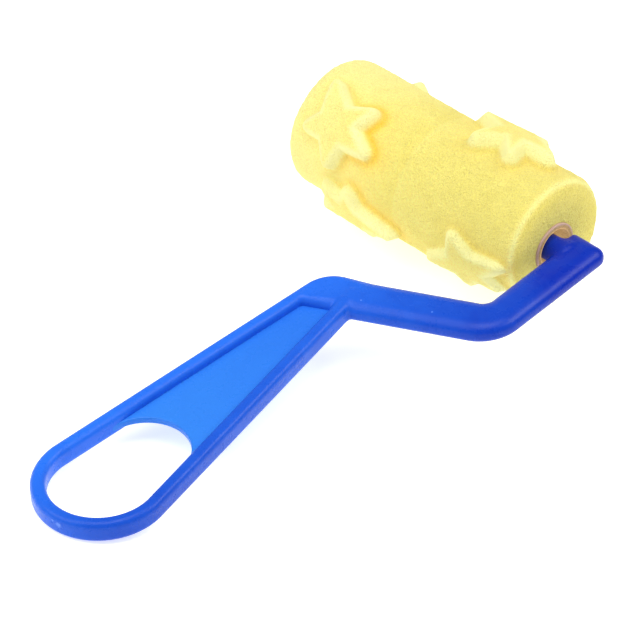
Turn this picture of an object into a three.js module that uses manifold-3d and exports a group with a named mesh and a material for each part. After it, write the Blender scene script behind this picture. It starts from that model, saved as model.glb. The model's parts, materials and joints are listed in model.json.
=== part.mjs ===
// A child's craft paint roller: a moulded loop handle with a cranked arm and axle,
// and a patterned foam sleeve on a card tube that spins on the axle.
//
// Units are millimetres. +X runs along the roller's axis towards the arm, +Y from the
// grip to the roller, +Z up. The roller lies at rest on its foam and on the grip's bow,
// and the origin is the middle of its footprint.

import * as THREE from 'three';
import { mergeVertices } from 'three/addons/utils/BufferGeometryUtils.js';
import Module from 'manifold-3d';

const manifold = await Module();
manifold.setup();

// --- Driving dimensions -------------------------------------------------------------

const GAP = 0.3; // between pieces that touch

// Foam sleeve. Its arm-side end face is the plane x = 0 and it runs to x = -SLEEVE_LENGTH.
const SLEEVE_RADIUS = 20;
const SLEEVE_LENGTH = 87.6;
const SLEEVE_EDGE = 4.2; // rounding of both end rims

// Raised stars cut from the sleeve
const STAR_HEIGHT = 4;
const STAR_REACH = 14.6; // centre to tip, before the tips are rounded
const STAR_WAIST = 7.6; // centre to the inside corners
const STAR_TIP_ROUNDING = 2;
const STAR_WAIST_ROUNDING = 1.6;
const STAR_EDGE = 0.8; // chamfer round the top
const STAR_TIP_INSET = 1.6; // the tips draw in by this many chamfers
const STAR_CORE = 0.5; // inner ring of points, as a share of the outline
const STAR_FOOT_GAP = 0.7; // leaves room for the foot's flat facets over the round sleeve
const STARS = [
  // x of the centre, its angle round the sleeve and the star's own turn, in degrees
  { x: -67.2, around: 134, turn: -128 },
  { x: -21, around: 71, turn: -16 },
  { x: -15.5, around: 188, turn: 32 },
  { x: -57, around: 201, turn: -20 },
  { x: -72.5, around: 339, turn: 18 },
  { x: -20, around: 282, turn: -54 },
  { x: -68, around: 275, turn: -50 },
  { x: -24, around: 345, turn: 44 },
  { x: -46, around: 308, turn: 5 },
];

// Card core tube, glued inside the foam
const TUBE_OUTER_RADIUS = 7.5;
const TUBE_INNER_RADIUS = 5.6;
const TUBE_PROUD = 0.5; // past each end of the foam

// Axle, and the cap that keeps the tube on it
const AXLE_RADIUS = 3.8;
const AXLE_LEAD = 0.6; // chamfer on the free end
const AXLE_SAG = new THREE.Vector3(0, -0.5, -0.4); // the loose tube rides above the axle
const CAP_RADIUS = 8.2;
const CAP_EDGE = 0.8;
const CAP_THICKNESS = 3;
const CAP_CLEARANCE = 0.6; // to the end of the tube
const CAP_WALL = 1; // over the end of the axle
const CAP_FIT = 0.3;

// The handle is one height all over, with rounded edges
const BAR_HEIGHT = 6.6;
const EDGE_RADIUS = 1.8;

// Crank, in the plane of the handle: the neck, the arm, and the block that holds the axle
const NECK_WIDTH = 12.3;
const NECK_ANGLE = 26.1; // degrees, of the neck's centre line from +X
const ARM_WIDTH = 10.8;
const ARM_ANGLE = 92; // degrees, of the arm's centre line from +X
const ELBOW = new THREE.Vector2(9.7, -35.2);
const BLOCK_FAR_Y = 7.8;
const BLOCK_NEAR_Y = -3;
const BLOCK_SHOULDER_X = 0.8; // face of the block, towards the roller

// Plan radii of the crank's corners
const NECK_CORNER_RADIUS = 11; // outside, where the left rim turns into the neck
const ELBOW_INSIDE_RADIUS = 3.2;
const ELBOW_OUTSIDE_RADIUS = 13.6;
const BLOCK_INSIDE_RADIUS = 0.2; // between the block and the arm
const BLOCK_CORNER_RADIUS = 1.85;
const ARM_CORNER_RADIUS = 3.4; // outside corner at the end of the arm

// Grip: a loop of thin rim round a web panel, with a finger hole at the bow
const RIM_WIDTH = 4.3;
const BOW_CENTRE = new THREE.Vector2(-23.7, -151.6);
const BOW_RADIUS = 17.2; // of the rim's centre line
const GRIP_ANGLE = 94.7; // degrees, of the grip's centre line from +X
const GRIP_TAPER = 7; // degrees that each rim leans in towards the neck
const WEB_THICKNESS = 2.1;
const WEB_TOP = 0.6; // above the middle plane of the handle
const HOLE_LENGTH = 44.6; // of the finger hole, along the grip

// Fineness of the faceted solids
const ROUNDING_STEPS = 4; // facets in a quarter turn of a rounded edge
const CORNER_STEPS = 8; // facets in a plan corner
const BOW_STEPS = 28;
const AXLE_SIDES = 32;
const TUBE_SIDES = 40;
const SLEEVE_SIDES = 48;
const HOLE_STEPS = 24;
const TILT_STEPS = 12; // rounds of settling the part on the ground
const WELD_DISTANCE = 1e-4;

// --- Worked-out places --------------------------------------------------------------

const radians = THREE.MathUtils.degToRad;
const direction = (degrees) =>
  new THREE.Vector2(Math.cos(radians(degrees)), Math.sin(radians(degrees)));

const gripLine = direction(GRIP_ANGLE);
const neckLine = direction(NECK_ANGLE);
const leftRimLine = direction(GRIP_ANGLE - GRIP_TAPER);
const rightRimLine = direction(GRIP_ANGLE + GRIP_TAPER);

function alongLine(start, line, distance) {
  return start.clone().addScaledVector(line, distance);
}

function crossing(startA, lineA, startB, lineB) {
  const between = startB.clone().sub(startA);
  return alongLine(startA, lineA, between.cross(lineB) / lineA.cross(lineB));
}

const armLine = direction(ARM_ANGLE);
const leftBowEnd = alongLine(BOW_CENTRE, direction(GRIP_ANGLE - GRIP_TAPER + 90), BOW_RADIUS);
const rightBowEnd = alongLine(BOW_CENTRE, direction(GRIP_ANGLE + GRIP_TAPER - 90), BOW_RADIUS);
const leftCorner = crossing(leftBowEnd, leftRimLine, ELBOW, neckLine);
const rightCorner = crossing(rightBowEnd, rightRimLine, ELBOW, neckLine);
const elbowMitre = neckLine.clone().add(armLine).normalize();

// A line moved sideways, to the left of its direction when the distance is positive
function beside(start, line, distance) {
  return alongLine(start, new THREE.Vector2(-line.y, line.x), distance);
}

// --- Building blocks ----------------------------------------------------------------

// A closed geometry as a manifold solid
function solid(geometry) {
  const bare = geometry.clone();
  bare.deleteAttribute('normal');
  bare.deleteAttribute('uv');
  const merged = mergeVertices(bare, WELD_DISTANCE);
  const vertProperties = new Float32Array(merged.attributes.position.array);
  const triVerts = new Uint32Array(merged.index.array);
  const result = new manifold.Manifold(
    new manifold.Mesh({ numProp: 3, vertProperties, triVerts }),
  );
  if (result.volume() > 0) return result;
  triVerts.reverse(); // turns every face over
  return new manifold.Manifold(
    new manifold.Mesh({ numProp: 3, vertProperties, triVerts }),
  );
}

// A manifold solid as a flat-shaded geometry
function geometryOf(body) {
  const mesh = body.getMesh();
  const geometry = new THREE.BufferGeometry();
  const positions = new THREE.BufferAttribute(new Float32Array(mesh.vertProperties), 3);
  geometry.setAttribute('position', positions);
  geometry.setIndex(new THREE.BufferAttribute(new Uint32Array(mesh.triVerts), 1));
  const flat = geometry.toNonIndexed();
  flat.computeVertexNormals();
  return flat;
}

// Rounded rectangle, as a shape for extruding along a path. On a path in the XY plane the
// shape's x lies along Z, so height comes first.
function barSection(width) {
  const points = [];
  const insetX = BAR_HEIGHT / 2 - EDGE_RADIUS;
  const insetY = width / 2 - EDGE_RADIUS;
  [[1, 1], [-1, 1], [-1, -1], [1, -1]].forEach(([sideX, sideY], quarter) => {
    for (let i = 0; i <= ROUNDING_STEPS; i += 1) {
      const angle = 90 * (quarter + i / ROUNDING_STEPS);
      const centre = new THREE.Vector2(sideX * insetX, sideY * insetY);
      points.push(alongLine(centre, direction(angle), EDGE_RADIUS));
    }
  });
  return new THREE.Shape(points);
}

// A straight or bent bar along a path in the plane of the handle
function bar(width, path, steps) {
  const options = { steps, extrudePath: path, bevelEnabled: false };
  return new THREE.ExtrudeGeometry(barSection(width), options);
}

function straight(from, to) {
  return new THREE.LineCurve3(
    new THREE.Vector3(from.x, from.y, 0),
    new THREE.Vector3(to.x, to.y, 0),
  );
}

// Circular arc in the plane of the handle, by its centre, radius and end angles
class PlaneArc extends THREE.Curve {
  constructor(centre, radius, startDegrees, endDegrees) {
    super();
    this.centre = centre;
    this.radius = radius;
    this.start = radians(startDegrees);
    this.sweep = radians(endDegrees - startDegrees);
  }

  getPoint(t, target = new THREE.Vector3()) {
    const angle = this.start + t * this.sweep;
    return target.set(
      this.centre.x + this.radius * Math.cos(angle),
      this.centre.y + this.radius * Math.sin(angle),
      0,
    );
  }
}

// A body of revolution about the X axis, from [radius, x] pairs
function turned(profile, segments) {
  const points = profile.map(([radius, x]) => new THREE.Vector2(radius, x));
  return new THREE.LatheGeometry(points, segments).rotateZ(-Math.PI / 2);
}

// An upright prism between two heights, from a plan outline
function prism(shape, bottom, top, curveSegments = CORNER_STEPS) {
  const options = { depth: top - bottom, bevelEnabled: false, curveSegments };
  return new THREE.ExtrudeGeometry(shape, options).translate(0, 0, bottom);
}

// A plan outline through corners, each [point, radius], anticlockwise or clockwise
function roundedOutline(corners) {
  const count = corners.length;
  const points = [];
  corners.forEach(([corner, radius], i) => {
    const before = corners[(i + count - 1) % count][0].clone().sub(corner).normalize();
    const after = corners[(i + 1) % count][0].clone().sub(corner).normalize();
    if (radius === 0) {
      points.push(corner);
      return;
    }
    const half = before.angleTo(after) / 2;
    const middle = before.clone().add(after).normalize();
    const centre = alongLine(corner, middle, radius / Math.sin(half));
    const tangent = radius / Math.tan(half);
    const from = alongLine(corner, before, tangent).sub(centre);
    const to = alongLine(corner, after, tangent).sub(centre);
    const turn = Math.atan2(from.cross(to), from.dot(to));
    for (let k = 0; k <= CORNER_STEPS; k += 1) {
      const spoke = from.clone().rotateAround(new THREE.Vector2(), (turn * k) / CORNER_STEPS);
      points.push(spoke.add(centre));
    }
  });
  return new THREE.Shape(points);
}

// A plate of the handle's height with its top and bottom edges rounded
function roundedPlate(shape) {
  const depth = BAR_HEIGHT - 2 * EDGE_RADIUS;
  const options = {
    depth,
    bevelEnabled: true,
    bevelSize: EDGE_RADIUS,
    bevelThickness: EDGE_RADIUS,
    bevelOffset: -EDGE_RADIUS,
    bevelSegments: ROUNDING_STEPS,
  };
  return new THREE.ExtrudeGeometry(shape, options).translate(0, 0, -depth / 2);
}

// --- Materials ----------------------------------------------------------------------

const blueGloss = { color: 0x1c4fd0, roughness: 0.28, metalness: 0 };
const blueWeb = { color: 0x2f7cf2, roughness: 0.25, metalness: 0 };
const foam = { color: 0xf7e27a, roughness: 0.95, metalness: 0 };
const card = { color: 0xb08e6e, roughness: 0.85, metalness: 0 };

function part(name, geometry, look) {
  const mesh = new THREE.Mesh(geometry, new THREE.MeshStandardMaterial(look));
  mesh.name = name;
  return mesh;
}

// --- Handle -------------------------------------------------------------------------

function gripBow() {
  const from = GRIP_ANGLE - GRIP_TAPER + 90;
  const to = GRIP_ANGLE + GRIP_TAPER - 90 + 360;
  const path = new PlaneArc(BOW_CENTRE, BOW_RADIUS, from, to);
  return part('grip_bow', bar(RIM_WIDTH, path, BOW_STEPS), blueGloss);
}

// Plan outline of the whole crank, grown all round by an allowance
function crankOutline(allowance) {
  const neckNear = beside(ELBOW, neckLine, -NECK_WIDTH / 2 - allowance);
  const neckFar = beside(ELBOW, neckLine, NECK_WIDTH / 2 + allowance);
  const armOutside = beside(ELBOW, armLine, -ARM_WIDTH / 2 - allowance);
  const armInside = beside(ELBOW, armLine, ARM_WIDTH / 2 + allowance);
  const rimOutside = beside(leftBowEnd, leftRimLine, RIM_WIDTH / 2 + allowance);
  const acrossX = new THREE.Vector2(1, 0);
  const blockNear = new THREE.Vector2(0, BLOCK_NEAR_Y - allowance);
  const blockFar = new THREE.Vector2(0, BLOCK_FAR_Y + allowance);
  const shoulderX = BLOCK_SHOULDER_X - allowance;
  return roundedOutline([
    [crossing(rimOutside, leftRimLine, neckNear, neckLine), 0],
    [crossing(neckNear, neckLine, armOutside, armLine), ELBOW_OUTSIDE_RADIUS],
    [crossing(blockFar, acrossX, armOutside, armLine), ARM_CORNER_RADIUS],
    [new THREE.Vector2(shoulderX, blockFar.y), BLOCK_CORNER_RADIUS],
    [new THREE.Vector2(shoulderX, blockNear.y), BLOCK_CORNER_RADIUS],
    [crossing(blockNear, acrossX, armInside, armLine), BLOCK_INSIDE_RADIUS],
    [crossing(neckFar, neckLine, armInside, armLine), ELBOW_INSIDE_RADIUS],
    [crossing(rimOutside, leftRimLine, neckFar, neckLine), NECK_CORNER_RADIUS],
  ]);
}

const crank = solid(roundedPlate(crankOutline(0)));
const crankRoom = solid(prism(crankOutline(GAP), -BAR_HEIGHT, BAR_HEIGHT));
const elbowReach = elbowMitre.dot(ELBOW);
const armInsideX = crossing(beside(ELBOW, armLine, ARM_WIDTH / 2), armLine,
  new THREE.Vector2(), new THREE.Vector2(1, 0)).x;

// Neck: the corner that the left rim runs into, and the diagonal bar up to the elbow
function neckBar() {
  const reach = elbowReach - GAP / 2;
  const neck = crank.trimByPlane([-elbowMitre.x, -elbowMitre.y, 0], -reach);
  return part('neck_bar', geometryOf(neck), blueGloss);
}

// Arm: about parallel to the grip, from the mitre at the elbow past the axle
function rollerArm() {
  const reach = elbowReach + GAP / 2;
  const arm = crank
    .trimByPlane([elbowMitre.x, elbowMitre.y, 0], reach)
    .trimByPlane([1, 0, 0], armInsideX + GAP / 2);
  return part('roller_arm', geometryOf(arm), blueGloss);
}

// Short block that turns from the arm to the roller and carries the axle
function axleBlock() {
  const block = crank
    .trimByPlane([-1, 0, 0], -armInsideX + GAP / 2)
    .trimByPlane([0, 1, 0], BLOCK_NEAR_Y - BLOCK_INSIDE_RADIUS);
  return part('axle_block', geometryOf(block), blueGloss);
}

// Each rim runs from the bow until it butts against the crank
function rim(name, bowEnd, line, corner) {
  const start = alongLine(bowEnd, line, GAP);
  const run = solid(bar(RIM_WIDTH, straight(start, corner), 1));
  return part(name, geometryOf(run.subtract(crankRoom)), blueGloss);
}

// Thin panel between the rims, from the finger hole's far end to the neck
function webPanel() {
  const inset = RIM_WIDTH / 2 + GAP;
  const taper = Math.sin(radians(GRIP_TAPER));
  const bowInner = BOW_RADIUS - RIM_WIDTH / 2;
  // The hole's far arc touches both rims: its radius and its centre's distance add up
  // to what the bow's own inner radius leaves of the hole's length
  const centreDistance = (HOLE_LENGTH - 2 * bowInner) / (1 - taper);
  const holeCentre = alongLine(BOW_CENTRE, gripLine, centreDistance);
  const holeRadius = bowInner - centreDistance * taper;

  const leftEdge = beside(leftBowEnd, leftRimLine, -inset);
  const rightEdge = beside(rightBowEnd, rightRimLine, inset);
  const across = direction(GRIP_ANGLE - 90);
  const outline = new THREE.Shape([
    crossing(leftEdge, leftRimLine, holeCentre, across),
    crossing(rightEdge, rightRimLine, holeCentre, across),
    crossing(rightEdge, rightRimLine, ELBOW, neckLine),
    crossing(leftEdge, leftRimLine, ELBOW, neckLine),
  ]);
  const plate = solid(prism(outline, WEB_TOP - WEB_THICKNESS, WEB_TOP));
  const hole = new THREE.Shape();
  hole.absarc(holeCentre.x, holeCentre.y, holeRadius, 0, 2 * Math.PI);
  const cutter = solid(prism(hole, -BAR_HEIGHT, BAR_HEIGHT, HOLE_STEPS));
  const panel = plate.subtract(cutter).subtract(crankRoom);
  return part('web_panel', geometryOf(panel), blueWeb);
}

// Plain round shaft from the block's shoulder to just past the far end of the tube
function axle() {
  const arm = BLOCK_SHOULDER_X - GAP;
  const end = -SLEEVE_LENGTH - TUBE_PROUD - CAP_CLEARANCE - CAP_THICKNESS + CAP_WALL + CAP_FIT;
  const profile = [
    [0, end], [AXLE_RADIUS - AXLE_LEAD, end], [AXLE_RADIUS, end + AXLE_LEAD],
    [AXLE_RADIUS, arm], [0, arm],
  ];
  return part('axle', turned(profile, AXLE_SIDES), blueGloss);
}

// Push-on cap at the far end, wider than the tube's bore
function endCap() {
  const inner = -SLEEVE_LENGTH - TUBE_PROUD - CAP_CLEARANCE;
  const outer = inner - CAP_THICKNESS;
  const floor = outer + CAP_WALL;
  const bore = AXLE_RADIUS + CAP_FIT;
  const profile = [
    [0, outer], [CAP_RADIUS - CAP_EDGE, outer], [CAP_RADIUS, outer + CAP_EDGE],
    [CAP_RADIUS, inner], [bore, inner], [bore, floor], [0, floor],
  ];
  return part('end_cap', turned(profile, AXLE_SIDES), blueGloss);
}

// --- Roller -------------------------------------------------------------------------

function coreTube() {
  const left = -SLEEVE_LENGTH - TUBE_PROUD;
  const profile = [
    [TUBE_INNER_RADIUS, left], [TUBE_OUTER_RADIUS, left], [TUBE_OUTER_RADIUS, TUBE_PROUD],
    [TUBE_INNER_RADIUS, TUBE_PROUD], [TUBE_INNER_RADIUS, left],
  ];
  return part('core_tube', turned(profile, TUBE_SIDES), card);
}

function foamSleeve() {
  const bore = TUBE_OUTER_RADIUS + GAP;
  const profile = [[bore, -SLEEVE_LENGTH]];
  for (const [centreX, from] of [[-SLEEVE_LENGTH + SLEEVE_EDGE, -90], [-SLEEVE_EDGE, 0]]) {
    for (let i = 0; i <= ROUNDING_STEPS; i += 1) {
      const angle = radians(from + (90 * i) / ROUNDING_STEPS);
      profile.push([
        SLEEVE_RADIUS - SLEEVE_EDGE * (1 - Math.cos(angle)),
        centreX + SLEEVE_EDGE * Math.sin(angle),
      ]);
    }
  }
  profile.push([bore, 0], [bore, -SLEEVE_LENGTH]);
  return part('foam_sleeve', turned(profile, SLEEVE_SIDES), foam);
}

// Five-pointed outline with rounded tips and rounded inside corners
function starOutline(turn, inset) {
  const corners = [];
  for (let i = 0; i < 10; i += 1) {
    const radius = i % 2 ? STAR_WAIST - inset : STAR_REACH - STAR_TIP_INSET * inset;
    corners.push(direction(turn + 36 * i).multiplyScalar(radius));
  }
  const points = [];
  corners.forEach((corner, i) => {
    const before = corners[(i + 9) % 10].clone().sub(corner).normalize();
    const after = corners[(i + 1) % 10].clone().sub(corner).normalize();
    const rounding = i % 2 ? STAR_WAIST_ROUNDING : STAR_TIP_ROUNDING;
    const half = before.angleTo(after) / 2;
    const back = rounding / Math.tan(half);
    const start = alongLine(corner, before, back);
    const end = alongLine(corner, after, back);
    const curve = new THREE.QuadraticBezierCurve(start, corner, end);
    points.push(...curve.getPoints(i % 2 ? 1 : 3)); // tips get more facets
  });
  return points;
}

// One raised star, wrapped round the sleeve. Its inner face follows the sleeve's surface.
function foamStar({ x, around, turn }, index) {
  const foot = SLEEVE_RADIUS + STAR_FOOT_GAP;
  const top = SLEEVE_RADIUS + STAR_HEIGHT;
  const rings = [
    { radius: foot, points: starOutline(turn, 0) },
    { radius: top - STAR_EDGE, points: starOutline(turn, 0) },
    { radius: top, points: starOutline(turn, STAR_EDGE) },
  ];
  const count = rings[0].points.length;
  const vertices = [];
  const wrap = (point, radius) => {
    const angle = radians(around) + point.y / top;
    vertices.push(x + point.x, radius * Math.cos(angle), radius * Math.sin(angle));
  };
  rings.forEach(({ radius, points }) => points.forEach((point) => wrap(point, radius)));
  // Inner points keep the foot and the crown curved, so neither cuts the sleeve
  const cores = [rings[0], rings[2]].map(({ radius, points }) => {
    const first = vertices.length / 3;
    points.forEach((point) => wrap(point.clone().multiplyScalar(STAR_CORE), radius));
    wrap(new THREE.Vector2(), radius);
    return first;
  });
  const faces = [];
  const band = (low, high) => {
    for (let i = 0; i < count; i += 1) {
      const j = (i + 1) % count;
      faces.push(low + i, low + j, high + j, low + i, high + j, high + i);
    }
  };
  const fan = (ring, centre) => {
    for (let i = 0; i < count; i += 1) faces.push(ring + i, ring + ((i + 1) % count), centre);
  };
  band(0, count);
  band(count, 2 * count);
  band(2 * count, cores[1]);
  fan(cores[1], cores[1] + count);
  band(cores[0], 0);
  for (let i = 0; i < count; i += 1) {
    faces.push(cores[0] + ((i + 1) % count), cores[0] + i, cores[0] + count);
  }
  const geometry = new THREE.BufferGeometry();
  geometry.setAttribute('position', new THREE.Float32BufferAttribute(vertices, 3));
  geometry.setIndex(faces);
  const closed = geometryOf(solid(geometry));
  return part(`foam_star_${String(index + 1).padStart(2, '0')}`, closed, foam);
}

// --- Assembly -----------------------------------------------------------------------

const handle = new THREE.Group();
handle.add(
  gripBow(),
  rim('rim_left', leftBowEnd, leftRimLine, leftCorner),
  rim('rim_right', rightBowEnd, rightRimLine, rightCorner),
  webPanel(),
  neckBar(),
  rollerArm(),
  axleBlock(),
  axle(),
  endCap(),
);
handle.position.copy(AXLE_SAG);

const roller = new THREE.Group();
roller.add(coreTube(), foamSleeve(), ...STARS.map(foamStar));

const paintRoller = new THREE.Group();
paintRoller.add(handle, roller);

// Lay it down: turn it about the roller's axis until the bow and the foam both touch
function lowest(object) {
  return new THREE.Box3().setFromObject(object, true).min.z;
}

let tilt = 0;
for (let i = 0; i < TILT_STEPS; i += 1) {
  paintRoller.rotation.x = tilt;
  paintRoller.updateMatrixWorld(true);
  tilt -= (lowest(roller) - lowest(handle)) / BOW_CENTRE.length();
}

const bounds = new THREE.Box3().setFromObject(paintRoller, true);
const middle = bounds.getCenter(new THREE.Vector3());
paintRoller.position.set(-middle.x, -middle.y, -bounds.min.z);

export default paintRoller;
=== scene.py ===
"""Looks of a child's craft paint roller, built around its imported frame.

The handle is one glossy blue moulding with a thinner web panel, and the roller is a porous
yellow foam sleeve with raised stars on a card tube. Lengths are millimetres in two local
frames, both tilted with the roller as it lies on the ground: the handle's, whose XY plane is
the middle plane of the moulding and whose origin is on the axle, and the roller's, whose
origin is where its axis leaves the arm-side face of the foam. Plan points are complex numbers.
"""

import cmath
import json
import math

import bpy
import numpy as np
from mathutils import Matrix, Vector


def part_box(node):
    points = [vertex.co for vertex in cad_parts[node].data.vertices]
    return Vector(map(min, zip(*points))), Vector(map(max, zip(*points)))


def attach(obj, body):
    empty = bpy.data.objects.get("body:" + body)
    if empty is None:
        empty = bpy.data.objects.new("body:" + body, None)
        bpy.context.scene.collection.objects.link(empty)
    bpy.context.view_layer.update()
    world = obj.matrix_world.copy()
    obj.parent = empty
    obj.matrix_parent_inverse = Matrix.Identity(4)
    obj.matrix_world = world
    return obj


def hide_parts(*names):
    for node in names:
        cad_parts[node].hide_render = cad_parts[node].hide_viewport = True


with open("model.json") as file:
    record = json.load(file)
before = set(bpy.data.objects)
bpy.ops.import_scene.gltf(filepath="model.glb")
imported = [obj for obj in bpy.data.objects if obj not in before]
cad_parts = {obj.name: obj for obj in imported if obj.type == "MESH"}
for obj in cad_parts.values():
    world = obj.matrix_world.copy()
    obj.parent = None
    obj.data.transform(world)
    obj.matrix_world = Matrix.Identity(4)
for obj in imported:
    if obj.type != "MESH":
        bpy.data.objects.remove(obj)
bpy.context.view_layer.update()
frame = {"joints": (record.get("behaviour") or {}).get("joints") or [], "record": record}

MM = 0.001  # metres

# --- Driving dimensions ---------------------------------------------------------------------
# Millimetres and degrees, with the CAD's values but for the neck and arm, 0.8 wider because
# their sides are rounder, the rounding of the edges, and the block's shoulder, 0.1 further out.

AXLE_SAG = Vector((0, -0.5, -0.4))  # of the handle's origin from the roller's

BAR_HEIGHT = 6.6
CRANK_EDGE_RADIUS, RIM_EDGE_RADIUS = 3.0, 1.9
CRANK_EDGE_SPREAD = 1.5  # width of the crank's rounding, in heights of it
NECK_WIDTH, NECK_ANGLE = 13.1, 26.1
ARM_WIDTH, ARM_ANGLE = 11.6, 92
ELBOW = complex(9.7, -35.2)
BLOCK_FAR_Y, BLOCK_NEAR_Y = 7.8, -3
BLOCK_SHOULDER_X = 0.9
NECK_CORNER_RADIUS = 11
ELBOW_INSIDE_RADIUS, ELBOW_OUTSIDE_RADIUS = 3.2, 13.6
BLOCK_INSIDE_RADIUS, BLOCK_CORNER_RADIUS = 0.2, 1.85
ARM_CORNER_RADIUS = 3.4

RIM_WIDTH = 4.3
BOW_CENTRE, BOW_RADIUS = complex(-23.7, -151.6), 17.2
GRIP_ANGLE, GRIP_TAPER = 94.7, 7
RIM_STOP = 3  # how far the left rim ends before the neck's middle line
WEB_THICKNESS, WEB_TOP = 2.1, 0.6
WEB_EDGE_RADIUS = 0.4
HOLE_LENGTH = 44.6

AXLE_RADIUS, AXLE_LEAD = 3.8, 0.6
SHOULDER_FILLET = 1.6  # where the axle runs into its block
JOIN_FILLET = 0.9  # where a rim runs into the neck

# Pale nicks in the handle's skin and dark specks in the foam, each (place, radius). A nick's
# place is in the handle's frame, a speck's is its x, angle and radius on the sleeve. A helper
# script worked the places out from points picked on the photograph; some were then moved by eye.
NICKS = [
    ((-22.1, -54.1, 3.3), 0.32), ((-3.9, -44.7, 3.3), 0.28),
    ((-20.5, -170.8, 0.8), 0.9), ((-18.3, -170.9, -0.3), 0.6), ((-22.4, -170.7, 1.4), 0.5),
]
FOAM_SPECKS = [((-73.8, 110.2, 23.9), 0.4), ((-22, 50, 24.4), 0.4)]

SLEEVE_RADIUS, SLEEVE_EDGE = 20, 4.2
SLEEVE_LENGTH = (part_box("foam_sleeve")[1].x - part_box("foam_sleeve")[0].x) / MM
TUBE_OUTER_RADIUS, TUBE_INNER_RADIUS, TUBE_PROUD = 7.5, 5.6, 0.5
OUTER_PLY = 0.6  # of the tube's wall
CAP_RADIUS, CAP_THICKNESS, CAP_CLEARANCE, CAP_WALL, CAP_FIT = 8.2, 3, 0.6, 1, 0.3

WRAP_RADIUS = 24  # plan outlines of the stars are laid round this

# --- Local frames ---------------------------------------------------------------------------


def local_frame(origin, normal):
    """Matrix from millimetres in a frame whose Z is the handle's normal to metres in the row frame."""
    z = Vector(normal).normalized()
    x = Vector((1, 0, 0))
    y = z.cross(x)
    axes = Matrix((x, y, z)).transposed().to_4x4()
    return Matrix.Translation(origin) @ axes @ Matrix.Scale(MM, 4)


handle_normal = frame["record"]["mounts"][0]["axis"]
ROLLER = local_frame(frame["joints"][0]["pos_m"], handle_normal)
HANDLE = ROLLER @ Matrix.Translation(AXLE_SAG)

# --- Plan geometry --------------------------------------------------------------------------


def direction(degrees):
    return cmath.rect(1, math.radians(degrees))


def cross(a, b):
    return (np.conj(a) * b).imag


def crossing(start_a, line_a, start_b, line_b):
    return start_a + line_a * cross(start_b - start_a, line_b) / cross(line_a, line_b)


def beside(start, line, distance):
    """A line's start moved sideways, to the left of its direction when distance is positive."""
    return start + 1j * line * distance


def rounded_outline(corners, steps=14):
    """Points of a closed outline through corners, each (point, radius)."""
    points = []
    for i, (corner, radius) in enumerate(corners):
        if radius == 0:
            points.append(corner)
            continue
        before = corners[i - 1][0] - corner
        after = corners[(i + 1) % len(corners)][0] - corner
        before, after = before / abs(before), after / abs(after)
        half = abs(cmath.phase(after / before)) / 2
        middle = (before + after) / abs(before + after)
        centre = corner + middle * radius / math.sin(half)
        reach = radius / math.tan(half)
        spoke = corner + before * reach - centre
        turn = cmath.phase((corner + after * reach - centre) / spoke)
        points += [centre + spoke * cmath.rect(1, turn * k / steps) for k in range(steps + 1)]
    return points


def outline_distance(points, outline):
    """Signed distance of plan points to a closed outline, negative inside."""
    nearest = np.full(points.shape, np.inf)
    inside = np.zeros(points.shape, bool)
    for start, end in zip(outline, outline[1:] + outline[:1]):
        along = end - start
        if abs(along) < 1e-9:
            continue
        offset = points - start
        share = np.clip((offset * np.conj(along)).real / abs(along) ** 2, 0, 1)
        nearest = np.minimum(nearest, np.abs(offset - share * along))
        straddles = (start.imag <= points.imag) != (end.imag <= points.imag)
        inside ^= straddles & ((cross(along, offset) > 0) == (end.imag > start.imag))
    return np.where(inside, -nearest, nearest)


def segment_distance(points, start, end):
    along = end - start
    offset = points - start
    share = np.clip((offset * np.conj(along)).real / abs(along) ** 2, 0, 1)
    return np.abs(offset - share * along)


def smooth_min(a, b, width):
    """The smaller of two distances, with a fillet of about that width where they meet."""
    width = np.maximum(width, 1e-6)
    overlap = np.maximum(width - np.abs(a - b), 0) / width
    return np.minimum(a, b) - overlap**2 * width / 4


def rounded_slab(plan, height, half_height, edge, spread=1):
    """Distance to a plate from the plan distance and the height above its middle, edges rounded.

    The rounding is edge high and edge times spread wide.
    """
    out = plan / spread + edge
    up = np.abs(height) - half_height + edge
    return np.minimum(np.maximum(out, up), 0) + np.hypot(np.maximum(out, 0), np.maximum(up, 0)) - edge


# --- Places in the handle's plan ------------------------------------------------------------

grip_line = direction(GRIP_ANGLE)
neck_line = direction(NECK_ANGLE)
arm_line = direction(ARM_ANGLE)
left_rim_line = direction(GRIP_ANGLE - GRIP_TAPER)
right_rim_line = direction(GRIP_ANGLE + GRIP_TAPER)
left_bow_end = BOW_CENTRE + BOW_RADIUS * 1j * left_rim_line
right_bow_end = BOW_CENTRE - BOW_RADIUS * 1j * right_rim_line
left_corner = crossing(left_bow_end, left_rim_line, ELBOW, neck_line)
right_corner = crossing(right_bow_end, right_rim_line, ELBOW, neck_line)


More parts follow.
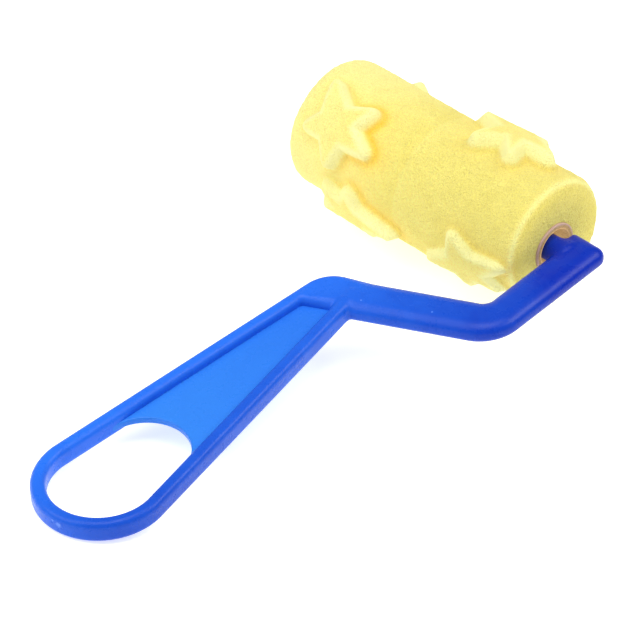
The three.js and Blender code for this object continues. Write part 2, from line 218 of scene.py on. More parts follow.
def crank_outline():
    neck_near = beside(ELBOW, neck_line, -NECK_WIDTH / 2)
    neck_far = beside(ELBOW, neck_line, NECK_WIDTH / 2)
    arm_outside = beside(ELBOW, arm_line, -ARM_WIDTH / 2)
    arm_inside = beside(ELBOW, arm_line, ARM_WIDTH / 2)
    rim_outside = beside(left_bow_end, left_rim_line, RIM_WIDTH / 2)
    return rounded_outline([
        (crossing(rim_outside, left_rim_line, neck_near, neck_line), 0),
        (crossing(neck_near, neck_line, arm_outside, arm_line), ELBOW_OUTSIDE_RADIUS),
        (crossing(BLOCK_FAR_Y * 1j, 1, arm_outside, arm_line), ARM_CORNER_RADIUS),
        (complex(BLOCK_SHOULDER_X, BLOCK_FAR_Y), BLOCK_CORNER_RADIUS),
        (complex(BLOCK_SHOULDER_X, BLOCK_NEAR_Y), BLOCK_CORNER_RADIUS),
        (crossing(BLOCK_NEAR_Y * 1j, 1, arm_inside, arm_line), BLOCK_INSIDE_RADIUS),
        (crossing(neck_far, neck_line, arm_inside, arm_line), ELBOW_INSIDE_RADIUS),
        (crossing(rim_outside, left_rim_line, neck_far, neck_line), NECK_CORNER_RADIUS),
    ])


CRANK = crank_outline()


def rim_distance(points):
    """Plan distance to the loop of rim: two straight runs and the bow between them."""
    left = segment_distance(points, left_bow_end, left_corner - RIM_STOP * left_rim_line)
    right = segment_distance(points, right_bow_end, right_corner)
    bow = np.abs(np.abs(points - BOW_CENTRE) - BOW_RADIUS)
    ahead_left = ((points - BOW_CENTRE) * np.conj(left_rim_line)).real > 0
    ahead_right = ((points - BOW_CENTRE) * np.conj(right_rim_line)).real > 0
    bow = np.where(ahead_left & ahead_right, np.inf, bow)
    return np.minimum(np.minimum(left, right), bow) - RIM_WIDTH / 2


def axle_distance(x, y, z):
    """Distance to the axle, from inside the block to just past the far end of the tube."""
    end = -SLEEVE_LENGTH - TUBE_PROUD - CAP_CLEARANCE - CAP_THICKNESS + CAP_WALL + CAP_FIT
    middle, half = (end + ARM_WIDTH / 2) / 2, (ARM_WIDTH / 2 - end) / 2
    return rounded_slab(np.hypot(y, z) - AXLE_RADIUS, x - middle, half, AXLE_LEAD)


def moulding_distance(x, y, z):
    """Distance to crank, rims and axle as one solid, filleted where they meet."""
    points = x + 1j * y
    inside_left_rim = -cross(left_rim_line, points - left_bow_end)
    rounder = smooth_step(inside_left_rim / NECK_WIDTH)
    edge = RIM_EDGE_RADIUS + (CRANK_EDGE_RADIUS - RIM_EDGE_RADIUS) * rounder
    spread = 1 + (CRANK_EDGE_SPREAD - 1) * rounder
    crank = rounded_slab(outline_distance(points, CRANK), z, BAR_HEIGHT / 2, edge, spread)
    rims = rounded_slab(rim_distance(points), z, BAR_HEIGHT / 2, RIM_EDGE_RADIUS)
    bars = smooth_min(crank, rims, JOIN_FILLET * np.clip(inside_left_rim, 0, 1))
    return smooth_min(bars, axle_distance(x, y, z), SHOULDER_FILLET)


def web_hole():
    """Centre and radius of the finger hole's far arc, which touches both rims."""
    taper = math.sin(math.radians(GRIP_TAPER))
    bow_inner = BOW_RADIUS - RIM_WIDTH / 2
    distance = (HOLE_LENGTH - 2 * bow_inner) / (1 - taper)
    return BOW_CENTRE + grip_line * distance, bow_inner - distance * taper


def web_outline():
    """The web's plan, reaching to the middle of the rims and of the neck."""
    centre, _ = web_hole()
    return [
        crossing(left_bow_end, left_rim_line, centre, 1j * left_rim_line),
        crossing(right_bow_end, right_rim_line, centre, 1j * right_rim_line),
        right_corner,
        left_corner,
    ]


def web_distance(x, y, z):
    points = x + 1j * y
    centre, radius = web_hole()
    plan = np.maximum(outline_distance(points, web_outline()), radius - np.abs(points - centre))
    middle = WEB_TOP - WEB_THICKNESS / 2
    return rounded_slab(plan, z - middle, WEB_THICKNESS / 2, WEB_EDGE_RADIUS)


# --- Meshes ---------------------------------------------------------------------------------

CUBE = np.array([(i >> 2 & 1, i >> 1 & 1, i & 1) for i in range(8)])
CUBE_EDGES = [(a, b) for a in range(8) for b in range(a + 1, 8) if abs(CUBE[a] - CUBE[b]).sum() == 1]


def surface_net(field):
    """Vertices, in grid steps, and quads of the zero surface of a sampled field, negative inside."""
    inside = field < 0
    size = np.array(field.shape) - 1
    count = sum(inside[i:i + size[0], j:j + size[1], k:k + size[2]].astype(int) for i, j, k in CUBE)
    cells = np.argwhere((count > 0) & (count < 8))
    number = np.full(size, -1)
    number[tuple(cells.T)] = np.arange(len(cells))
    values = np.stack([field[tuple((cells + corner).T)] for corner in CUBE], axis=1)
    total = np.zeros((len(cells), 3))
    crossed = np.zeros(len(cells))
    for a, b in CUBE_EDGES:
        hit = (values[:, a] < 0) != (values[:, b] < 0)
        share = values[hit, a] / (values[hit, a] - values[hit, b])
        total[hit] += CUBE[a] + share[:, None] * (CUBE[b] - CUBE[a])
        crossed[hit] += 1
    vertices = cells + total / crossed[:, None]
    quads = []
    for axis in range(3):
        u, v = np.eye(3, dtype=int)[[(axis + 1) % 3, (axis + 2) % 3]]
        near = np.moveaxis(inside, axis, 0)[:-1]
        far = np.moveaxis(inside, axis, 0)[1:]
        edge = np.moveaxis(near != far, 0, axis)
        starts = np.argwhere(edge)
        starts = starts[(starts[:, (axis + 1) % 3] > 0) & (starts[:, (axis + 2) % 3] > 0)]
        ring = [number[tuple((starts + step).T)] for step in (-u - v, -v, 0 * u, -u)]
        quad = np.stack(ring, axis=1)
        outward = inside[tuple(starts.T)]
        quads.append(np.where(outward[:, None], quad, quad[:, ::-1]))
    return vertices, np.concatenate(quads)


def settle(points, distance, rounds=3, reach=0.02):
    """Points moved on to the surface of a distance function, down its slope, in a few rounds."""
    for _ in range(rounds):
        here = distance(*points.T)
        slope = np.stack([distance(*(points + reach * step).T) - here for step in np.eye(3)], axis=1)
        slope /= np.linalg.norm(slope, axis=1, keepdims=True) + 1e-12
        points = points - slope * here[:, None]
    return points


def solid_mesh(distance, low, high, step):
    """Vertices and quads of a distance function's surface inside a box."""
    axes = [np.arange(a, b + step, step) for a, b in zip(low, high)]
    x, y, z = np.meshgrid(*axes, indexing="ij", sparse=True)
    field = distance(x, y, z)
    field = np.broadcast_to(field, [len(a) for a in axes])
    vertices, quads = surface_net(field)
    return settle(vertices * step + np.array(low), distance), quads


def make_piece(name, vertices, faces, matrix, material):
    """A smooth-shaded mesh object with its place in its vertices, in metres."""
    mesh = bpy.data.meshes.new(name)
    rotation = np.array(matrix.to_3x3())
    placed = vertices @ rotation.T + np.array(matrix.translation)
    mesh.from_pydata(placed.tolist(), [], faces.tolist())
    mesh.polygons.foreach_set("use_smooth", np.ones(len(mesh.polygons), bool))
    mesh.materials.append(material)
    mesh.validate()
    piece = bpy.data.objects.new(name, mesh)
    bpy.context.scene.collection.objects.link(piece)
    return piece


def set_attribute(piece, name, values):
    attribute = piece.data.attributes.new(name, "FLOAT", "POINT")
    attribute.data.foreach_set("value", np.asarray(values, np.float32))


def ring_faces(rows, columns):
    """Quads of a closed grid: a loop of rows, each a loop of columns."""
    row, column = np.meshgrid(np.arange(rows), np.arange(columns), indexing="ij")
    next_row, next_column = (row + 1) % rows, (column + 1) % columns
    corners = [(row, column), (row, next_column), (next_row, next_column), (next_row, column)]
    return np.stack([(r * columns + c).ravel() for r, c in corners], axis=1)


def turned(x, radius, columns):
    """Vertices of a closed profile turned about the X axis."""
    angle = np.linspace(0, 2 * np.pi, columns, endpoint=False)
    x, angle = np.meshgrid(x, angle, indexing="ij")
    radius = np.broadcast_to(np.asarray(radius).reshape(len(x), -1), x.shape)
    return np.stack([x, radius * np.cos(angle), radius * np.sin(angle)], axis=-1).reshape(-1, 3)


def smooth_step(value):
    value = np.clip(value, 0, 1)
    return value * value * (3 - 2 * value)


def smooth_noise(shape, spacing, size, seed):
    """Periodic noise of unit spread on a grid, blurred to features of a size."""
    field = np.random.default_rng(seed).standard_normal(shape)
    frequencies = [np.fft.fftfreq(n, d) for n, d in zip(shape, spacing)]
    u, v = np.meshgrid(*frequencies, indexing="ij")
    blur = np.exp(-2 * (np.pi * size) ** 2 * (u**2 + v**2))
    field = np.fft.ifft2(np.fft.fft2(field) * blur).real
    return (field - field.mean()) / field.std()


# --- Node materials -------------------------------------------------------------------------


class Shader:
    """A node material with one Principled shader."""

    def __init__(self, name, **sockets):
        self.material = bpy.data.materials.new(name)
        self.material.use_nodes = True
        self.tree = self.material.node_tree
        self.surface = self.tree.nodes["Principled BSDF"]
        for socket, value in sockets.items():
            self.surface.inputs[socket.replace("_", " ")].default_value = value
        self.place = self.node("ShaderNodeTexCoord").outputs["Object"]

    def node(self, kind, inputs=None, **settings):
        made = self.tree.nodes.new(kind)
        for name, value in settings.items():
            setattr(made, name, value)
        for socket, value in (inputs or {}).items():
            self.feed(made.inputs[socket], value)
        return made

    def feed(self, socket, value):
        if isinstance(value, bpy.types.NodeSocket):
            self.tree.links.new(value, socket)
        else:
            socket.default_value = value

    def noise(self, size, detail=2, roughness=0.5, place=None, distortion=0):
        """Noise from 0 to 1 with features of a size in millimetres."""
        inputs = {
            "Vector": place or self.place,
            "Scale": 1 / (size * MM),
            "Detail": detail,
            "Roughness": roughness,
            "Distortion": distortion,
        }
        return self.node("ShaderNodeTexNoise", inputs).outputs["Fac"]

    def stretched(self, factors):
        """Object coordinates scaled along each axis."""
        inputs = {0: self.place, 1: factors}
        return self.node("ShaderNodeVectorMath", inputs, operation="MULTIPLY").outputs[0]

    def attribute(self, name):
        return self.node("ShaderNodeAttribute", attribute_name=name).outputs["Fac"]

    def ramp(self, value, low, high, to_low=0, to_high=1):
        inputs = {"Value": value, "From Min": low, "From Max": high, "To Min": to_low, "To Max": to_high}
        return self.node("ShaderNodeMapRange", inputs).outputs["Result"]

    def maths(self, operation, a, b=0):
        return self.node("ShaderNodeMath", {0: a, 1: b}, operation=operation).outputs[0]

    def mix(self, share, a, b):
        made = self.node("ShaderNodeMix", data_type="RGBA")
        self.feed(made.inputs["Factor"], share)
        self.feed(made.inputs[6], a)
        self.feed(made.inputs[7], b)
        return made.outputs[2]

    def spots(self, places):
        """1 inside small ragged spots, each (point in metres, radius in millimetres), 0 outside."""
        ragged = self.ramp(self.noise(0.3), 0.3, 0.7, 0.6, 1.4)
        total = 0
        for place, size in places:
            inputs = {0: self.place, 1: place}
            gap = self.node("ShaderNodeVectorMath", inputs, operation="DISTANCE").outputs["Value"]
            near = self.ramp(self.maths("MULTIPLY", gap, ragged), size * MM, size * MM * 0.5)
            total = self.maths("MAXIMUM", near, total)
        return total

    def bump(self, height, depth, normal=None):
        """Bump from a height of 0 to 1 that stands for a depth in millimetres."""
        inputs = {"Height": height, "Distance": depth * MM, "Strength": 1}
        made = self.node("ShaderNodeBump", inputs)
        if normal:
            self.feed(made.inputs["Normal"], normal)
        return made.outputs["Normal"]

    def finish(self, colour, roughness=None, normal=None):
        self.feed(self.surface.inputs["Base Color"], colour)
        if roughness:
            self.feed(self.surface.inputs["Roughness"], roughness)
        if normal:
            self.feed(self.surface.inputs["Normal"], normal)
        return self.material


def linear(red, green, blue):
    """Scene-linear colour from display values out of 255."""
    return tuple(
        (v / 255 / 12.92 if v <= 10 else ((v / 255 + 0.055) / 1.055) ** 2.4) for v in (red, green, blue)
    ) + (1,)


def blue_plastic(name, deep, bright, nicks=()):
    """Glossy polyethylene, painted brighter where light shines through it, with flow marks and a finely
    rippled skin.
    """
    shader = Shader(name, IOR=1.46)
    shader.surface.inputs["Specular IOR Level"].default_value = 0.22
    flow = shader.ramp(shader.noise(9, detail=3, distortion=0.6), 0.3, 0.7, -0.07, 0.07)
    # painted light shining through: the thin attribute lifts the colour from deep to bright
    thin = shader.maths("ADD", shader.attribute("thin"), flow)
    colour = shader.mix(thin, deep, bright)
    places = [(HANDLE @ Vector(place), size) for place, size in nicks]
    colour = shader.mix(shader.spots(places), colour, linear(96, 140, 235))
    smear = shader.noise(5, detail=4, roughness=0.6)
    ripple = shader.bump(shader.noise(2.4, detail=1), 0.014)
    grain = shader.bump(shader.noise(0.36, detail=1), 0.045, ripple)
    return shader.finish(colour, shader.ramp(smear, 0.3, 0.7, 0.24, 0.32), grain)


def sleeve_point(x, around, radius):
    angle = math.radians(around)
    return Vector((x, radius * math.cos(angle), radius * math.sin(angle)))


def foam_material():
    """Open-cell foam, fine dark pores: painted warm shade in creases, painted light on stars, painted
    shade by the arm.
    """
    shader = Shader("foam", Roughness=0.95)
    shader.surface.inputs["Specular IOR Level"].default_value = 0.1
    shader.surface.inputs["Sheen Weight"].default_value = 0.22
    shader.surface.inputs["Sheen Roughness"].default_value = 0.6
    mottle = shader.noise(5, detail=3)
    colour = shader.mix(shader.ramp(mottle, 0.35, 0.65), linear(236, 220, 106), linear(229, 212, 95))
    # painted shade: warm colour in a ring round each star
    colour = shader.mix(shader.attribute("painted_warm_shade"), colour, linear(250, 208, 76))
    # painted light: pale on the stars' walls, at the far end and on the arm end's rim
    colour = shader.mix(shader.attribute("painted_light"), colour, linear(244, 244, 172))
    # painted shade: deep orange in the creases beside the stars
    colour = shader.mix(shader.attribute("painted_crease_shade"), colour, linear(240, 190, 20))
    # painted shade: olive on the arm-end face and along the side towards the arm; the cut end face also
    # gets deeper pores
    colour = shader.mix(shader.attribute("end"), colour, linear(209, 200, 104))
    pores = shader.noise(0.36, detail=1, roughness=0.7)
    depth = shader.ramp(shader.attribute("end"), 0, 1, 0.26, 0.55)
    pore_share = shader.maths("MULTIPLY", shader.ramp(pores, 0.56, 0.32), depth)
    colour = shader.mix(pore_share, colour, linear(186, 158, 62))
    places = [(ROLLER @ sleeve_point(*place), size) for place, size in FOAM_SPECKS]
    colour = shader.mix(shader.spots(places), colour, linear(70, 60, 30))
    cells = shader.node(
        "ShaderNodeTexVoronoi", {"Vector": shader.place, "Scale": 1 / (0.7 * MM)}
    ).outputs["Distance"]
    coarse = shader.bump(shader.ramp(cells, 0, 0.7), 0.12)
    fine = shader.bump(pores, 0.75, coarse)
    shader.feed(shader.surface.inputs["Emission Color"], colour)
    shader.surface.inputs["Emission Strength"].default_value = 0.34  # painted glow, for light that soaks through the foam
    return shader.finish(colour, None, fine)


def card_material():
    """Golden-brown spiral-wound card with short fibres, a pinkish outer ply and a painted glow on the
    bore's wall.
    """
    shader = Shader("card", Roughness=0.85)
    fibres = shader.noise(0.5, detail=4, place=shader.stretched((0.25, 1, 1)))
    wound = shader.mix(shader.ramp(fibres, 0.35, 0.65), linear(192, 154, 98), linear(214, 178, 120))
    colour = shader.mix(shader.attribute("outer_ply"), wound, linear(204, 170, 156))
    glow = shader.mix(shader.attribute("bore"), (0, 0, 0, 1), wound)
    shader.feed(shader.surface.inputs["Emission Color"], glow)
    shader.surface.inputs["Emission Strength"].default_value = 0.55  # painted glow, lighting the bore's wall where it lies in shadow
    return shader.finish(colour, None, shader.bump(fibres, 0.05))


def floor_material():
    """White light table: matte, lit from inside, with the faintest tooth."""
    shader = Shader("floor", Roughness=0.9)
    shader.surface.inputs["Specular IOR Level"].default_value = 0.1
    shader.surface.inputs["Emission Color"].default_value = (1, 1, 1, 1)
    shader.surface.inputs["Emission Strength"].default_value = 0.65
    tooth = shader.noise(3, detail=2)
    colour = shader.mix(tooth, (0.74, 0.74, 0.74, 1), (0.76, 0.76, 0.76, 1))
    return shader.finish(colour)


# --- Handle ---------------------------------------------------------------------------------

MOULDING_STEP = 0.4  # grid of the moulding's surface
WEB_STEP = 0.34
MARGIN = 1.2  # of empty grid round a solid


def painted_through_light(x, y):
    """Share of painted light shining through the moulding: most on the left rim, least on the arm's end.
    """
    from_left_rim = (x - left_bow_end.real) / (ELBOW.real - left_bow_end.real)
    along_arm = smooth_step(1 + y / 30)
    return np.clip(0.98 - 0.52 * from_left_rim - 0.42 * along_arm, 0, 1) ** 2


def handle_moulding():
    """Crank, rims, bow and axle, as the one moulding that they are."""
    outline = np.array(CRANK)
    axle_end = -SLEEVE_LENGTH - CAP_THICKNESS - CAP_CLEARANCE
    height = AXLE_RADIUS + MARGIN
    low = (axle_end, BOW_CENTRE.imag - BOW_RADIUS - RIM_WIDTH / 2 - MARGIN, -height)
    high = (outline.real.max() + MARGIN, BLOCK_FAR_Y + MARGIN, height)
    vertices, quads = solid_mesh(moulding_distance, low, high, MOULDING_STEP)
    material = blue_plastic("blue_plastic", linear(0, 41, 168), linear(38, 113, 235), NICKS)
    piece = make_piece("handle_moulding", vertices, quads, HANDLE, material)
    # painted light shining through, graded along the handle by place
    set_attribute(piece, "thin", painted_through_light(vertices[:, 0], vertices[:, 1]))
    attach(piece, "handle")
    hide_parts("grip_bow", "rim_left", "rim_right", "neck_bar", "roller_arm", "axle_block", "axle")


def handle_web():
    """Thin panel inside the grip, painted brighter where light shines through it."""
    outline = np.array(web_outline())
    low = (outline.real.min() - MARGIN, outline.imag.min() - MARGIN, WEB_TOP - WEB_THICKNESS - MARGIN)
    high = (outline.real.max() + MARGIN, outline.imag.max() + MARGIN, WEB_TOP + MARGIN)
    vertices, quads = solid_mesh(web_distance, low, high, WEB_STEP)
    material = blue_plastic("blue_web", linear(36, 108, 220), linear(47, 126, 227))
    piece = make_piece("web_membrane", vertices, quads, HANDLE, material)
    hole, _ = web_hole()
    # painted light shining through the web: brightest from the finger hole to the bow, fading towards
    # the neck
    set_attribute(piece, "thin", smooth_step(1 + (hole.imag - vertices[:, 1]) / abs(ELBOW - hole)))
    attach(piece, "handle")
    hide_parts("web_panel")


def rounded_profile(corners, spacing):
    """X and radius of a closed profile through (x, radius) corners, each with a rounding."""
    outline = rounded_outline([(complex(x, r), rounding) for x, r, rounding in corners], steps=6)
    points = []
    for start, end in zip(outline, outline[1:] + outline[:1]):
        steps = max(1, round(abs(end - start) / spacing))
        points += [start + (end - start) * k / steps for k in range(steps)]
    points = np.array(points)
    return points.real, points.imag


def push_on_cap():
    """Cap that keeps the tube on the axle, with a soft edge and a shallow dish outside."""
    inner = -SLEEVE_LENGTH - TUBE_PROUD - CAP_CLEARANCE
    outer = inner - CAP_THICKNESS
    bore = AXLE_RADIUS + CAP_FIT
    hub, dish, thin = 1e-3, 0.5, 0.4
    corners = [
        (outer + dish, hub, 0), (outer + dish, CAP_RADIUS * 0.6, 0.4), (outer, CAP_RADIUS * 0.7, 0.4),
        (outer, CAP_RADIUS, 0.8), (inner, CAP_RADIUS, 0.4), (inner, bore, 0.3),
        (outer + CAP_WALL + thin, bore, 0.2), (outer + CAP_WALL + thin, hub, 0),
    ]
    x, radius = rounded_profile(corners, 1.0)
    material = bpy.data.materials["blue_plastic"]
    piece = make_piece("push_on_cap", turned(x, radius, 96), ring_faces(len(x), 96), HANDLE, material)
    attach(piece, "handle")
    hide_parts("end_cap")


# --- Roller ---------------------------------------------------------------------------------


def card_tube():
    """Spiral-wound card tube with slightly frayed rims."""
    left = -SLEEVE_LENGTH - TUBE_PROUD
    corners = [
        (left, TUBE_INNER_RADIUS, 0.3), (left, TUBE_OUTER_RADIUS, 0.3),
        (TUBE_PROUD, TUBE_OUTER_RADIUS, 0.3), (TUBE_PROUD, TUBE_INNER_RADIUS, 0.3),
    ]
    x, radius = rounded_profile(corners, 0.4)
    columns = 128
    ragged = smooth_noise((len(x), columns), (0.4, 0.3), 0.8, seed=11)
    radius = radius[:, None] + 0.05 * ragged
    piece = make_piece(
        "card_tube", turned(x, radius, columns), ring_faces(len(x), columns), ROLLER, card_material()
    )
    ply = smooth_step((radius - TUBE_OUTER_RADIUS + OUTER_PLY) * 10)
    # where the painted glow lights the tube's bore
    bore = smooth_step((TUBE_INNER_RADIUS + OUTER_PLY - radius) * 4)
    set_attribute(piece, "outer_ply", np.broadcast_to(ply, (len(x), columns)).ravel())
    set_attribute(piece, "bore", np.broadcast_to(bore, (len(x), columns)).ravel())
    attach(piece, "roller")
    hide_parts("core_tube")


def even_tips(turn, reach=14.0):
    return [(reach, turn + 72 * i) for i in range(5)]


# For each star: x, angle round the sleeve, height, and the (reach, bearing) of its five tips. The
# first four are the photograph's uneven ones. Helper scripts worked them out from points picked
# on it, and their numbers were then rounded, and some adjusted by eye.
STARS = [
    (-69.5, 134, 4.0, [(17, -126), (14.5, -50), (15, 15), (15, 85), (13, 154)]),
    (-23.5, 60, 4.6, [(16.5, 10), (15, 60), (16, 120), (17, 192), (14.5, 278)]),
    (-15.5, 190, 2.8, [(13.5, -116), (15, -30), (14, 34), (14, 98), (16, 166)]),
    (-60.5, 203, 3.9, [(13.5, -138), (12, -88), (19, -6), (12, 55), (14.5, 158)]),
    (-73, 345, 4.2, even_tips(18, reach=15.5)),
    (-20, 282, 3.8, even_tips(-54)),
    (-68, 275, 3.8, even_tips(-50)),
    (-24, 345, 3.8, even_tips(44)),
    (-46, 308, 3.8, even_tips(5)),
]
WAIST_REACH = 8.3  # from a star's centre to each of the corners between its tips
TIP_ROUNDING = 2.9
TOP_ROUNDING = 2.5  # plan width over which a star's top rounds down to its wall
FOOT_FILLET = 1.0  # plan width of the fillet at its foot


def star_outline(tips):
    """Corners of a star about its own centre: its tips, and a waist half-way round to the next."""
    corners = []
    for i, (reach, bearing) in enumerate(tips):
        following = tips[(i + 1) % len(tips)][1]
        corners.append(reach * direction(bearing))
        corners.append(WAIST_REACH * direction(bearing + (following - bearing) % 360 / 2))
    return corners


def star_distance(x, degrees, star_x, around, outline):
    """Plan distance to a star with rounded tips, and the bearing from its middle, round the sleeve."""
    turn = (degrees - around + 180) % 360 - 180
    points = x - star_x + 1j * np.radians(turn) * WRAP_RADIUS
    middle = sum(outline) / len(outline)
    inset = [p - (p - middle) / abs(p - middle) * TIP_ROUNDING for p in outline]
    return outline_distance(points, inset) - TIP_ROUNDING, np.angle(points - middle)


SLEEVE_COLUMNS = 300
SLEEVE_SPACING = 0.41  # of the sleeve's rows and columns
LIT_BEARING = math.radians(115)  # the side of the sleeve where the painted crease shade is strongest
CREASE_BEARING = math.radians(-18)  # the side of each star where its painted crease shade is strongest
LUMP_HEIGHT, PIT_DEPTH = 0.1, 0.05
ARM_END_SKEW, ARM_END_PINCH = 1.9, 1.1  # how far the foam is off round by the arm
ARM_END_BEARING = math.radians(41)
SKEWED_LENGTH = 34  # over which the foam comes back to round
FAR_END_TUCK = 0.4  # half of what the far end draws in on its lower side


def sleeve_profile():
    """X, radius and outward direction along the sleeve's section, round from the far end's bore."""
    bore = TUBE_OUTER_RADIUS - 0.1
    corners = [
        (-SLEEVE_LENGTH, bore, 0.4), (-SLEEVE_LENGTH, SLEEVE_RADIUS, SLEEVE_EDGE),
        (0, SLEEVE_RADIUS, SLEEVE_EDGE), (0, bore, 0.4),
    ]
    x, radius = rounded_profile(corners, SLEEVE_SPACING)
    hidden = (radius < bore + 0.01) & (x > -SLEEVE_LENGTH + 1) & (x < -1)
    keep = ~hidden | (np.arange(len(x)) % 20 == 0)
    x, radius = x[keep], radius[keep]
    by_arm_end = np.clip((x + SLEEVE_EDGE) / SLEEVE_EDGE, 0, 1)
    by_far_end = np.clip((x + SLEEVE_LENGTH) / SLEEVE_EDGE - 1, -1, 0)
    out_x = by_arm_end + by_far_end
    out_r = np.clip((radius - SLEEVE_RADIUS + SLEEVE_EDGE) / SLEEVE_EDGE, 0, 1)
    on_rim = out_r > 0
    out_x = np.where(on_rim, out_x, np.sign(x + SLEEVE_LENGTH / 2))
    length = np.hypot(out_x, out_r)
    out_x, out_r = out_x / length, out_r / length
    return x, radius, out_x, out_r


def band(value, middle, width):
    """1 where a value is in the middle of a soft band, falling to 0 outside it."""
    return np.exp(-((value - middle) / width) ** 2)


def star_relief(x, degrees):
    """Rise of the stars over the sleeve, how much of each point gets painted crease shade or painted
    warm shade, and how much is wall.
    """
    rise, painted_crease_shade, painted_warm_shade, wall = np.zeros((4, *x.shape))
    for star_x, around, height, tips in STARS:
        gap, bearing = star_distance(x, degrees, star_x, around, star_outline(tips))
        slope = smooth_step((FOOT_FILLET - gap) / (FOOT_FILLET + TOP_ROUNDING))
        rise = np.maximum(rise, height * slope)
        shaded = np.maximum(0.35 + 0.65 * np.cos(bearing - CREASE_BEARING), 0.12)
        # painted shade in the crease and, wider, a warm painted shade round the star
        painted_crease_shade = np.maximum(painted_crease_shade, band(gap, 0.9, 1.3) * shaded * 0.8)
        painted_warm_shade = np.maximum(painted_warm_shade, band(gap, 1.5, 3.8) * (0.2 + 0.6 * shaded))
        inner = 1 - 0.75 * smooth_step(-gap / 3 - 0.5)
        wall = np.maximum(wall, smooth_step(0.4 - gap) * inner * (0.8 + 0.2 * shaded))
    return rise, painted_crease_shade, painted_warm_shade, wall


def foam_sleeve():
    """Sleeve and stars as the one piece of foam that they are: a section turned and displaced."""
    columns = SLEEVE_COLUMNS
    x, radius, out_x, out_r = sleeve_profile()
    angle = np.linspace(0, 2 * np.pi, columns, endpoint=False)
    grid_x, grid_angle = np.meshgrid(x, angle, indexing="ij")
    outer = smooth_step((radius - TUBE_OUTER_RADIUS) / (SLEEVE_RADIUS - TUBE_OUTER_RADIUS))[:, None]
    on_side = smooth_step(out_r * 1.6)[:, None]

    rise, painted_crease_shade, painted_warm_shade, wall = star_relief(grid_x, np.degrees(grid_angle))
    spacing = (SLEEVE_SPACING, SLEEVE_SPACING)
    lumps = smooth_noise(grid_x.shape, spacing, 6, seed=3)
    pits = smooth_noise(grid_x.shape, spacing, 0.34, seed=5)
    exposed = smooth_step((radius - TUBE_OUTER_RADIUS) / 0.8)[:, None]
    push = rise * on_side + LUMP_HEIGHT * lumps * outer + PIT_DEPTH * pits * exposed

    lean = ARM_END_SKEW * np.cos(grid_angle - ARM_END_BEARING) - ARM_END_PINCH
    skew = lean * smooth_step(grid_x / SKEWED_LENGTH + 1)
    tuck = FAR_END_TUCK * (1 - np.cos(grid_angle - ARM_END_BEARING))
    tuck = tuck * smooth_step(-grid_x / SLEEVE_LENGTH * 2 - 0.8)
    r = radius[:, None] + push * out_r[:, None] + (skew - tuck) * outer
    vertices = np.stack([
        grid_x + push * out_x[:, None],
        r * np.cos(grid_angle),
        r * np.sin(grid_angle),
    ], axis=-1).reshape(-1, 3)
    faces = ring_faces(len(x), columns)
    piece = make_piece("foam_roller", vertices, faces, ROLLER, foam_material())
    far_end = smooth_step(-grid_x / SLEEVE_LENGTH * 1.6 - 0.6)
    facing = (0.5 + 0.5 * np.cos(grid_angle - LIT_BEARING)) ** 2
    lit = (0.35 + 0.65 * smooth_step(-grid_x / SLEEVE_LENGTH * 1.6)) * (0.25 + 0.75 * facing)
    # painted crease shade and painted warm shade, strongest on the sleeve's lit side and towards the far
    # end
    set_attribute(piece, "painted_crease_shade", (painted_crease_shade * on_side * lit).ravel())
    set_attribute(piece, "painted_warm_shade", (painted_warm_shade * on_side * lit).ravel())
    arm_end = grid_x > -SLEEVE_LENGTH / 2
    # painted highlight: a pale band along the arm end's rounded rim
    painted_rim_highlight = 0.5 * band(out_r[:, None], 0.75, 0.2) * arm_end
    # painted light on the stars' walls, the far end and the rim's highlight band
    set_attribute(piece, "painted_light", np.maximum(0.9 * wall * on_side, 0.45 * far_end + painted_rim_highlight).ravel())
    # painted shade on the arm-end face, darkest by the tube, and along the sleeve's side towards the
    # arm, except where painted light is
    by_tube = 1 - 0.65 * smooth_step((radius - TUBE_OUTER_RADIUS) / 10)[:, None]
    kept_painted_light = np.maximum(np.maximum(0.8 * wall, rise / 5), np.minimum(2 * painted_rim_highlight, 1))
    painted_side_shade = 0.5 * smooth_step(1.2 + grid_x / 60) * (1 - kept_painted_light) * on_side
    set_attribute(piece, "end", ((1 - on_side) * arm_end * by_tube + painted_side_shade).ravel())
    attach(piece, "roller")
    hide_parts("foam_sleeve", *[f"foam_star_{i + 1:02d}" for i in range(len(STARS))])


# --- Stage ----------------------------------------------------------------------------------


def floor():
    """Top of the light table, far wider than the object."""
    size = 2.0  # metres, from the middle to each edge
    corners = np.array([(-size, -size, 0), (size, -size, 0), (size, size, 0), (-size, size, 0)])
    mesh = bpy.data.meshes.new("floor")
    mesh.from_pydata(corners.tolist(), [], [(0, 1, 2, 3)])
    mesh.materials.append(floor_material())
    board = bpy.data.objects.new("floor", mesh)
    bpy.context.scene.collection.objects.link(board)


CAMERA_AZIMUTH, CAMERA_ELEVATION, CAMERA_ROLL = 47.195, 40.749, -3.759
CAMERA_DISTANCE = 1401
CAMERA_ASIDE, CAMERA_UP = -65.23, -19.99  # in the picture's plane, from the handle's origin
SENSOR, LENS = 36, 281.25  # a long lens, as the photograph's nearly parallel edges need


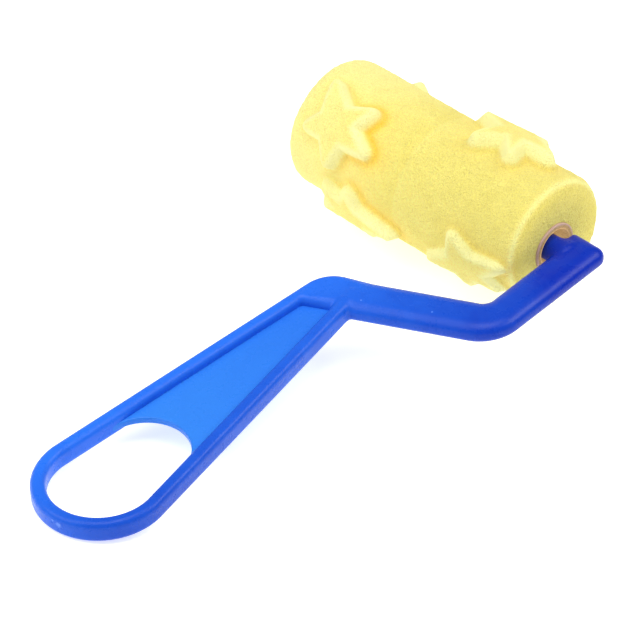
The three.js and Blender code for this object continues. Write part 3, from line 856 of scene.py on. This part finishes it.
def turned_axes(azimuth, elevation, roll=0):
    """Right, up and back directions of something that looks down at the handle's plane."""
    azimuth, elevation, roll = map(math.radians, (azimuth, elevation, roll))
    back = Vector((
        math.sin(azimuth) * math.cos(elevation),
        -math.cos(azimuth) * math.cos(elevation),
        math.sin(elevation),
    ))
    level = Vector((math.cos(azimuth), math.sin(azimuth), 0))
    upright = back.cross(level)
    right = math.cos(roll) * level + math.sin(roll) * upright
    return right, back.cross(right), back


def camera():
    right, up, back = turned_axes(CAMERA_AZIMUTH, CAMERA_ELEVATION, CAMERA_ROLL)
    data = bpy.data.cameras.new("camera")
    data.sensor_width = SENSOR
    data.lens = LENS
    data.clip_start, data.clip_end = 0.1, 20
    made = bpy.data.objects.new("camera", data)
    bpy.context.scene.collection.objects.link(made)
    place = right * CAMERA_ASIDE + up * CAMERA_UP + back * CAMERA_DISTANCE
    turn = HANDLE.to_3x3().normalized() @ Matrix((right, up, back)).transposed()
    made.matrix_world = Matrix.Translation(HANDLE @ place) @ turn.to_4x4()
    bpy.context.scene.camera = made


def softbox(name, azimuth, elevation, distance, width, height, power):
    """Lamp, width by height in metres, that looks at the origin from a direction in degrees."""
    back = turned_axes(azimuth, elevation)[2]
    lamp = bpy.data.lights.new(name, "AREA")
    lamp.shape = "RECTANGLE"
    lamp.size, lamp.size_y = width, height
    lamp.energy = power
    made = bpy.data.objects.new(name, lamp)
    made.location = back * distance
    made.rotation_mode = "QUATERNION"
    made.rotation_quaternion = (-back).to_track_quat("-Z", "Y")
    bpy.context.scene.collection.objects.link(made)


def studio():
    """White room with a softbox to each side of the camera and one overhead."""
    world = bpy.data.worlds.new("studio")
    world.use_nodes = True
    background = world.node_tree.nodes["Background"]
    background.inputs["Color"].default_value = (1, 1, 1, 1)
    background.inputs["Strength"].default_value = 0.35
    bpy.context.scene.world = world
    softbox("left_softbox", CAMERA_AZIMUTH - 75, 45, 1.2, 0.8, 0.8, 6)
    softbox("right_softbox", CAMERA_AZIMUTH + 89, 46, 1.2, 0.6, 0.5, 5)
    softbox("top_softbox", CAMERA_AZIMUTH, 82, 1.4, 0.9, 0.9, 9.5)
    bpy.context.scene.view_settings.view_transform = "Standard"


# --- Assembly -------------------------------------------------------------------------------

camera()
studio()
floor()
handle_moulding()
handle_web()
push_on_cap()
card_tube()
foam_sleeve()
